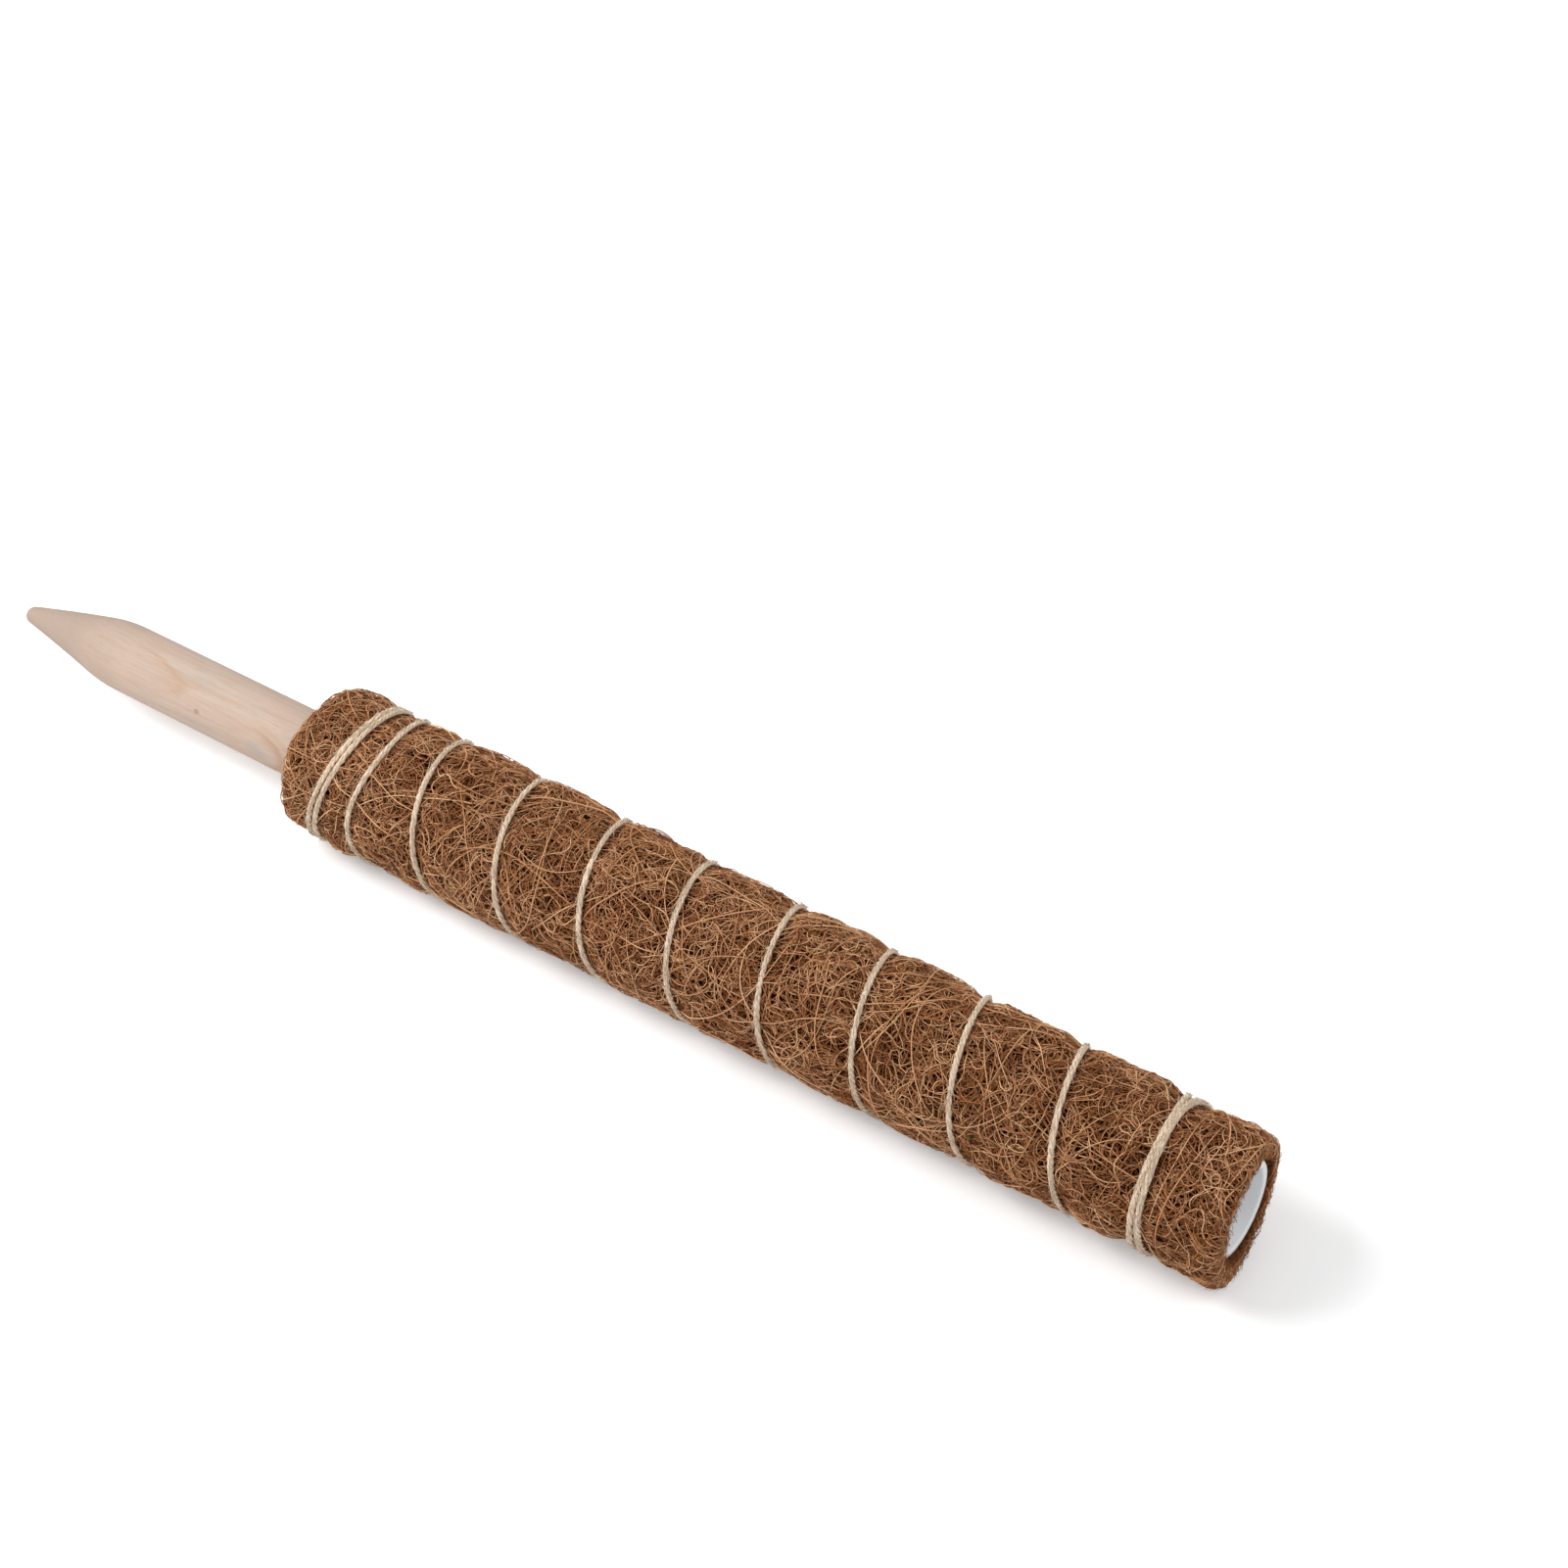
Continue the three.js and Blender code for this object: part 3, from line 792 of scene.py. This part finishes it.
def pipe_finish(pipe):
    """White extruded plastic with a little coir dust, and painted shade inside the bore."""
    sheet = material_sheet("pipe_plastic")
    cloud = sheet.grain((60, 160, 160), 4)
    speck = sheet.grain((900, 900, 900), 2)
    dusty = sheet.product(sheet.span(cloud, 0.45, 0.8), sheet.span(speck, 0.45, 0.7))
    radius = sheet.distance(sheet.object_places((0, 1, 1), move=(0, 0, -AXIS_HEIGHT)))
    bore = PIPE_RADIUS - pipe.wall
    outside = sheet.span(radius, bore + pipe.chamfer / 2, bore + pipe.chamfer)
    # Painted shade inside the bore, white plastic outside it and on the sawn ends
    plastic = sheet.mix(outside, pipe.bore_shade_colour, pipe.colour)
    return sheet.finish({
        "Base Color": sheet.mix(dusty, plastic, pipe.dust_colour),
        "Roughness": sheet.span(cloud, 0.3, 0.7, 0.32, 0.45),
        "Normal": sheet.bump(speck, 0.05, 0.05 * MM),
    })


def floor_finish(stage):
    """A pale floor that the camera sees turn white far from the pole."""
    sheet = material_sheet("floor")
    grain = sheet.noise(sheet.object_places(), 2, scale=40)
    pale = tuple(stage.floor_colour)
    darker = tuple(0.99 * value for value in pale)
    lift = sheet.span(sheet.distance(sheet.object_places()), 0.4, 1.6, stage.floor_lift, 1)
    return sheet.finish({
        "Base Color": sheet.ramp(grain, ((0.0, darker), (1.0, pale))),
        "Roughness": 0.9,
        "Specular IOR Level": 0.1,
        "Emission Color": WHITE,
        "Emission Strength": sheet.product(sheet.seen(), lift),
    })


# Pieces, each with its operator


def stake_profile(stake):
    """A rounded tip, a cone that eases into the shaft, and a chamfer at the end in the pipe."""
    tip = STAKE_LOW.x - COIR_START
    end = STAKE_HIGH.x - COIR_START
    slope = (STAKE_RADIUS - stake.tip_radius) / (stake.point_length - stake.shoulder / 2)
    profile = [(tip, 0)]
    for share in np.linspace(0, 1, POINT_RINGS)[1:] ** RING_CROWDING:
        distance = stake.point_length * share
        past = max(0, distance - (stake.point_length - stake.shoulder))
        cone = stake.tip_radius + slope * distance - slope * past * past / (2 * stake.shoulder)
        blunt = min(1, distance / stake.tip_round)
        profile.append((tip + distance, cone * math.sqrt(1 - (1 - blunt) ** 2)))
    shaft = tip + stake.point_length
    for share in np.linspace(0, 1, SHAFT_RINGS)[1:]:
        profile.append((shaft + (end - stake.end_chamfer - shaft) * share, STAKE_RADIUS))
    return profile + [(end, STAKE_RADIUS - stake.end_chamfer), (end, 0)]


class MOSSPOLE_OT_stake(Operator):
    """Turns the wooden stake with its blunt hand-cut point"""

    bl_idname = "mosspole.stake"
    bl_label = "Wooden stake"

    def execute(self, context):
        stake = context.scene.mosspole_stake
        mesh = turned_mesh("stake", stake_profile(stake), steps=96, closed=False)
        wave_rates = Vector((60, 140, 140))
        for vertex in mesh.vertices:
            place = vertex.co
            share = max(0, 1 - (place.x - STAKE_LOW.x) / stake.point_length)
            shift = stake.tip_offset * share * share
            wave = 0.5 + 0.5 * noise.noise(place * wave_rates)
            inward = 1 - stake.unevenness * wave / STAKE_RADIUS
            place.y = place.y * inward - shift
            place.z = AXIS_HEIGHT + (place.z - AXIS_HEIGHT) * inward - shift
        add_piece("stake", mesh, wood_finish(stake), STAKE_BODY, "stake_wood", "wooden_stake")
        return {"FINISHED"}


class MOSSPOLE_OT_pipe(Operator):
    """Makes the plastic pipe with its sawn ends"""

    bl_idname = "mosspole.pipe"
    bl_label = "Plastic pipe"

    def execute(self, context):
        pipe = context.scene.mosspole_pipe
        start = PIPE_LOW.x - COIR_START
        end = PIPE_HIGH.x - COIR_START
        bore = PIPE_RADIUS - pipe.wall
        edge = pipe.chamfer
        profile = [
            (start + edge, bore),
            (start, bore + edge),
            (start, PIPE_RADIUS - edge),
            (start + edge, PIPE_RADIUS),
            (end - edge, PIPE_RADIUS),
            (end, PIPE_RADIUS - edge),
            (end, bore + edge),
            (end - edge, bore),
        ]
        mesh = turned_mesh("pipe", profile, steps=128, closed=True)
        saw_rate = 900
        for vertex in mesh.vertices:
            place = vertex.co
            if min(place.x - PIPE_LOW.x, PIPE_HIGH.x - place.x) < edge / 2:
                inward = 1 if place.x < 0 else -1
                wave = 0.5 + 0.5 * noise.noise(place * saw_rate)
                place.x += inward * pipe.saw_roughness * wave
            if place.x > PIPE_HIGH.x - 2 * edge:
                down = (AXIS_HEIGHT - place.z) / PIPE_RADIUS
                place.x += pipe.saw_reach + pipe.saw_slant * down
        add_piece("pipe", mesh, pipe_finish(pipe), POLE_BODY, "pipe_plastic", "pvc_pipe")
        return {"FINISHED"}


# A layer of fibres: its pieces, the fibres in all of them, points of a fibre, ranges of depth, tone and
# length, how much the fibres bend and how thick they are
Layer = namedtuple("Layer", "pieces fibres points depth tone length bend thick", defaults=(1.0, 1.0))


def mat_layers(mat):
    """The layers from the core out, then the long loose fibres and the strips of husk."""
    middle = [f"coir_middle_{part}" for part in (1, 2, 3)]
    top = [f"coir_top_{part}" for part in (1, 2, 3, 4, 5)]
    return (
        # Tone ranges grow darker from the top layer down: painted shade that deepens the gaps in the tangle
        Layer(["coir_deep_1"], mat.deep_fibres, 9, mm(0.75, 1.05), (0, 0.3), mm(6, 11)),
        Layer(middle, mat.middle_fibres, 12, mm(0.3, 0.9), (0, 0.56), mm(7, 16)),
        Layer(top, mat.top_fibres, 13, mm(-0.25, 0.4), (0.2, 1), mm(8, 18)),
        Layer(["coir_strays"], mat.stray_fibres, 28, mm(-0.4, -0.1), (0.6, 1), mm(18, 44), 0.17, 1.4),
        Layer(["coir_husk"], mat.husk_strips, 14, mm(-0.1, 0.25), (0, 0.08), mm(4, 10), 0.25, 1.8),
    )


def mat_core(surface):
    """A grid bent round the pole: the mat's surface at its core's depth, closed along the bore."""
    shape = bmesh.new()
    bmesh.ops.create_grid(shape, x_segments=420, y_segments=120, size=1)
    flat = np.array([vertex.co for vertex in shape.verts])
    place = (flat[:, 0] + 1) / 2 * surface.length
    angle = (flat[:, 1] + 1) / 2 * FULL_TURN
    bent = surface.points(place, angle, np.full(len(place), surface.mat.core_depth))
    for vertex, point in zip(shape.verts, bent):
        vertex.co = point
    weld(shape)
    bmesh.ops.bridge_loops(shape, edges=[edge for edge in shape.edges if edge.is_boundary])
    bmesh.ops.recalc_face_normals(shape, faces=shape.faces[:])
    return mesh_of("coir_core", shape)


def tangle(surface, rng, name, layer):
    """Curled fibres that wander over the mat at a depth, with both ends tucked in."""
    draw = Draws(rng, layer.fibres // len(layer.pieces))
    share = shares(layer.points)
    start = draw.even(0, surface.length)
    turn = draw.even(0, FULL_TURN)
    heading = draw.even(0, FULL_TURN)
    run = draw.even(*layer.length)
    slow = draw.ripple(0.4, 1.1, share)
    quick = draw.ripple(1.2, 2.2, share)
    slow_angle = draw.spread(1.1)
    quick_angle = draw.even(0.1, 0.5)
    curl = draw.spread(FIBRE_CURL) * run * share
    way = heading + layer.bend * (slow_angle * slow + quick_angle * quick + curl)
    step = run / (layer.points - 1)
    place = start + np.cumsum(np.cos(way), axis=1) * step
    place = surface.length - np.abs(surface.length - np.abs(place))
    angle = turn + np.cumsum(np.sin(way), axis=1) * step / surface.at(place, surface.radii)
    level = draw.even(*layer.depth)
    beat = draw.ripple(0.6, 2.6, share)
    weave = draw.even(0.1, 0.36) * MM * beat
    tuck = TUCK_DEPTH * (1 - np.sin(math.pi * share)) ** 3
    paths = surface.points(place, angle, level + weave + tuck)
    size = surface.mat.fibre_radius * layer.thick * draw.even(0.65, 1.3)
    radii = size * (0.5 + 0.5 * np.sin(math.pi * share) ** 0.5)
    along = draw.even(0.02, 0.7) + FIBRE_RUN * share
    dark, light = layer.tone
    shade = dark + (light - dark) * draw.even(0, 1) ** TONE_POWER
    tones = shade * surface.rim_shade_tone(place) * PALETTE_INSIDE + PALETTE_EDGE
    return strand_mesh(name, paths, radii, FIBRE_SIDES, along, tones)


def end_fuzz(surface, rng):
    """Short cut fibres that stand off the two ends of the mat."""
    draw = Draws(rng, surface.mat.end_fibres)
    share = shares(END_POINTS)
    at_open_end = draw.even(0, 1) < OPEN_END_SHARE
    on_rim = draw.even(0, 1) < RIM_SHARE
    inset = np.where(on_rim, draw.even(*RIM_INSET), draw.even(*SIDE_INSET))
    place = np.where(at_open_end, surface.length - inset, inset)
    heading = draw.even(0, FULL_TURN) + draw.spread(1.2) * share
    run = draw.even(*mm(1, 4))
    place = np.clip(place + run * share * np.cos(heading), END_MARGIN, surface.length - END_MARGIN)
    angle = draw.even(0, FULL_TURN)
    angle = angle + run * share * np.sin(heading) / surface.at(place, surface.radii)
    near_side = 0.5 + 0.5 * np.cos(angle - NEAR_SIDE)
    standing = draw.even(0.1, 0.7) + 0.5 * near_side
    lift = np.where(inset < RIM_INSET[1], standing, 0.05) * MM
    paths = surface.points(place, angle, END_ROOT - (END_ROOT + lift) * share**END_POWER)
    radii = surface.mat.fibre_radius * draw.even(0.5, 0.9) * (1 - TAPER * share)
    along = draw.even(0.02, 0.8) + 0.15 * share
    tones = draw.even(0.2, 0.8) * surface.rim_shade_tone(place) + PALETTE_EDGE
    return strand_mesh("coir_ends", paths, radii, FIBRE_SIDES, along, tones)


class MOSSPOLE_OT_mat(Operator):
    """Makes the dark core of the mat and the tangle of coir fibres over it"""

    bl_idname = "mosspole.mat"
    bl_label = "Coir mat"

    def execute(self, context):
        mat = context.scene.mosspole_mat
        surface = MatSurface(mat, context.scene.mosspole_twine)
        add_piece("coir_core", mat_core(surface), core_finish(mat), POLE_BODY, "coir_fibre", "coir_mat")
        finish = fibre_finish(mat)
        rng = np.random.default_rng(mat.seed)
        for layer in mat_layers(mat):
            for name in layer.pieces:
                mesh = tangle(surface, rng, name, layer)
                add_piece(name, mesh, finish, POLE_BODY, "coir_fibre")
        add_piece("coir_ends", end_fuzz(surface, rng), finish, POLE_BODY, "coir_fibre")
        return {"FINISHED"}


def centre_line(turn, twine, mat):
    angle = twine_angle(turn, twine)
    station = twine_station(turn, twine)
    return on_pole(station, twine_seat(station, angle, mat, twine), angle)


def twine_route(turn, twine, mat):
    """The twine's centre line, with the directions across it and out of the coir."""
    small_step = 1e-4
    centre = centre_line(turn, twine, mat)
    forward = centre_line(turn + small_step, twine, mat) - centre
    forward /= np.linalg.norm(forward, axis=-1)[..., None]
    angle = twine_angle(turn, twine)
    outward = on_pole(0 * turn, np.ones_like(turn), angle) - on_pole(0 * turn, 0 * turn, angle)
    across = np.cross(forward, outward)
    return centre, across, np.cross(across, forward)


def with_waves(value, run, waves):
    for height, rate, phase in waves:
        value = value + height * np.sin(run * rate + phase)
    return value


def twine_plies(twine, mat):
    """The plies round the centre line, unevenly twisted and swollen."""
    turn = np.linspace(0, twine.turns, TWINE_POINTS)
    centre, across, outward = twine_route(turn, twine, mat)
    run = np.concatenate([[0], np.cumsum(np.linalg.norm(np.diff(centre, axis=0), axis=1))])
    twist = with_waves(run / twine.ply_pitch, run, TWIST_WAVES)
    swell = with_waves(1, run, SWELL_WAVES)
    ply = np.arange(PLIES)[:, None]
    lay = FULL_TURN * twist[None, :, None] + FULL_TURN * ply[..., None] / PLIES
    aside = PLY_ACROSS * np.cos(lay) * across + PLY_OUT * np.sin(lay) * outward
    paths = centre + twine.radius * aside
    radii = PLY_RADIUS * twine.radius * swell
    along = np.abs(turn % 2 - 1) * PALETTE_INSIDE + PALETTE_EDGE
    tones = (ply + 0.5) / PLIES
    return strand_mesh("twine", paths, radii, PLY_SIDES, along, tones, PLY_SPREAD)


def twine_hairs(twine, mat):
    """Short loose fibres that lie along the twine and stand off it, in turns and in twine radii."""
    rng = np.random.default_rng(twine.seed)
    draw = Draws(rng, twine.hairs)
    share = shares(HAIR_POINTS)
    start = draw.even(0.01, twine.turns - 0.03)
    reach = draw.even(0.012, 0.045) * rng.choice([-1, 1], draw.shape)
    turn = np.clip(start + reach * share, 0, twine.turns)
    centre, across, outward = twine_route(turn, twine, mat)
    bent = share**HAIR_POWER
    side = draw.even(-0.8, 0.8)
    spread = side + draw.spread(0.9) * bent
    height = 0.75 * np.sqrt(1 - side * side) + draw.even(-0.1, 0.7) * bent
    paths = centre + twine.radius * (spread[..., None] * across + height[..., None] * outward)
    paths = over_floor(paths, gap=0.2 * MM)
    radii = HAIR_RADIUS * draw.even(0.7, 1.3) * (1 - TAPER * share)
    along = draw.even(0.02, 0.9) + 0.06 * share
    tones = draw.even(0.05, 0.95)
    return strand_mesh("twine_hairs", paths, radii, FIBRE_SIDES, along, tones)


class MOSSPOLE_OT_twine(Operator):
    """Winds the jute twine round the mat: soft plies, flattened on the coir, with loose hairs"""

    bl_idname = "mosspole.twine"
    bl_label = "Jute twine"

    def execute(self, context):
        twine = context.scene.mosspole_twine
        mat = context.scene.mosspole_mat
        finish = twine_finish(twine)
        add_piece("twine", twine_plies(twine, mat), finish, POLE_BODY, "twine", "jute_twine")
        add_piece("twine_hairs", twine_hairs(twine, mat), finish, POLE_BODY, "twine")
        return {"FINISHED"}


def knot_mesh(name, turn, way, twine, mat):
    """An overhand knot drawn tight on the coir, and the tails that leave it along the pole."""
    angle = twine_angle(turn, twine)
    station = twine_station(turn, twine)
    height = twine_seat(station, angle, mat, twine) + KNOT_LIFT
    centre = on_pole(station, height, angle)
    outward = np.array([0, -math.sin(angle), math.cos(angle)])
    ahead = np.array([0, -math.cos(angle), -math.sin(angle)])
    onward = np.array([1.0, 0, 0])
    loop = np.linspace(0, FULL_TURN, KNOT_POINTS)[:, None]
    long, wide, high = KNOT_SIZE
    knot = (
        long * (np.sin(loop) + 2 * np.sin(2 * loop)) * onward
        + wide * (np.cos(loop) - 2 * np.cos(2 * loop)) * ahead
        + high * -np.sin(3 * loop) * outward
    )
    share = shares(KNOT_POINTS).T
    drop = np.maximum(0, height - mat_crown(station, mat)) + 0.1 * MM
    paths = [centre + knot]
    for lean, length in KNOT_TAILS:
        lead = way * (TAIL_LEAD * onward + lean * ahead)
        wave = TAIL_WAVE * np.sin(5 * share + lean * 9) * ahead * share
        paths.append(centre + length * share * lead - drop * share * outward + wave)
    paths = over_floor(np.stack(paths), gap=0.6 * MM)
    radii = np.full(paths.shape[:2], KNOT_RADIUS)
    radii[1:] *= 1 + TAIL_FRAY * share[:, 0] ** 3
    along = np.linspace(0.05, 0.25, KNOT_POINTS)
    tones = np.array([[0.2], [0.5], [0.8]])
    return strand_mesh(name, paths, radii, KNOT_SIDES, along, tones, PLY_SPREAD)


class MOSSPOLE_OT_knots(Operator):
    """Ties the two overhand knots that hold the ends of the twine, each with two short tails"""

    bl_idname = "mosspole.knots"
    bl_label = "Twine knots"

    def execute(self, context):
        twine = context.scene.mosspole_twine
        mat = context.scene.mosspole_mat
        finish = bpy.data.materials.get("jute_twine")
        if finish is None:
            raise RuntimeError("The twine is wound before its knots are tied")
        for node, turn, way in (("lower_knot", 0.0, -1), ("upper_knot", twine.turns, 1)):
            name = node + "_twine"
            add_piece(name, knot_mesh(name, turn, way, twine, mat), finish, POLE_BODY, "twine", node)
        return {"FINISHED"}


def stand(name, data, place):
    """Links a new object at a place."""
    standing = bpy.data.objects.new(name, data)
    standing.location = place
    bpy.context.scene.collection.objects.link(standing)
    return standing


def add_lamp(name, watts, size, place):
    """A square lamp that shines on the pole and isn't seen itself."""
    light = bpy.data.lights.new(name, "AREA")
    light.energy = watts
    light.size = size
    lamp = stand(name, light, place)
    lamp.rotation_euler = (-Vector(place)).to_track_quat("-Z", "Y").to_euler()
    lamp.visible_camera = False


def sky_world(stage):
    """Even light, and white where the camera looks past the floor."""
    sheet = NodeSheet(bpy.data.worlds.new("even_light"))
    even = sheet.tree.nodes["Background"]
    sheet.feed(even, {"Color": WHITE, "Strength": stage.sky})
    white = sheet.node("ShaderNodeBackground", {"Color": WHITE})
    either = {0: sheet.seen(), 1: even.outputs[0], 2: white.outputs[0]}
    chosen = sheet.node("ShaderNodeMixShader", either).outputs[0]
    sheet.feed(sheet.tree.nodes["World Output"], {"Surface": chosen})
    return sheet.owner


class MOSSPOLE_OT_stage(Operator):
    """Sets the camera, the soft lamps, the even light and the pale floor"""

    bl_idname = "mosspole.stage"
    bl_label = "Stage"

    def execute(self, context):
        scene = context.scene
        stage = scene.mosspole_stage
        scene.view_settings.view_transform = "Standard"
        camera = bpy.data.cameras.new("camera")
        camera.lens = stage.lens
        camera.sensor_width = stage.sensor
        scene.camera = stand("camera", camera, stage.camera)
        scene.camera.rotation_euler = (math.pi / 2 - stage.pitch, 0, stage.yaw)
        add_lamp("key_lamp", stage.key, size=0.5, place=(-0.5, -0.35, 0.7))
        add_lamp("fill_lamp", stage.fill, size=0.8, place=(0.62, 0.25, 0.6))
        scene.world = sky_world(stage)
        shape = bmesh.new()
        bmesh.ops.create_grid(shape, x_segments=2, y_segments=2, size=3)
        floor = stand("floor", mesh_of("floor", shape), (0, 0, 0))
        floor.data.materials.append(floor_finish(stage))
        return {"FINISHED"}


class MOSSPOLE_PT_panel(Panel):
    """Lists the pole's pieces"""

    bl_label = "Moss pole"
    bl_idname = "MOSSPOLE_PT_panel"
    bl_space_type = "VIEW_3D"
    bl_region_type = "UI"
    bl_category = "Moss pole"

    def draw(self, context):
        for operator in OPERATORS:
            self.layout.operator(operator.bl_idname)


SETTINGS = {
    "mosspole_mat": MatSettings,
    "mosspole_twine": TwineSettings,
    "mosspole_stake": StakeSettings,
    "mosspole_pipe": PipeSettings,
    "mosspole_stage": StageSettings,
}
OPERATORS = (
    MOSSPOLE_OT_stage,
    MOSSPOLE_OT_stake,
    MOSSPOLE_OT_pipe,
    MOSSPOLE_OT_mat,
    MOSSPOLE_OT_twine,
    MOSSPOLE_OT_knots,
)
CLASSES = (*SETTINGS.values(), *OPERATORS, MOSSPOLE_PT_panel)


def register():
    for made in CLASSES:
        bpy.utils.register_class(made)
    for name, group in SETTINGS.items():
        setattr(bpy.types.Scene, name, PointerProperty(type=group))


def unregister():
    for name in SETTINGS:
        delattr(bpy.types.Scene, name)
    for made in reversed(CLASSES):
        bpy.utils.unregister_class(made)


def main():
    register()
    bpy.ops.mosspole.stage()
    bpy.ops.mosspole.stake()
    bpy.ops.mosspole.pipe()
    bpy.ops.mosspole.mat()
    bpy.ops.mosspole.twine()
    bpy.ops.mosspole.knots()


if __name__ == "__main__":
    main()
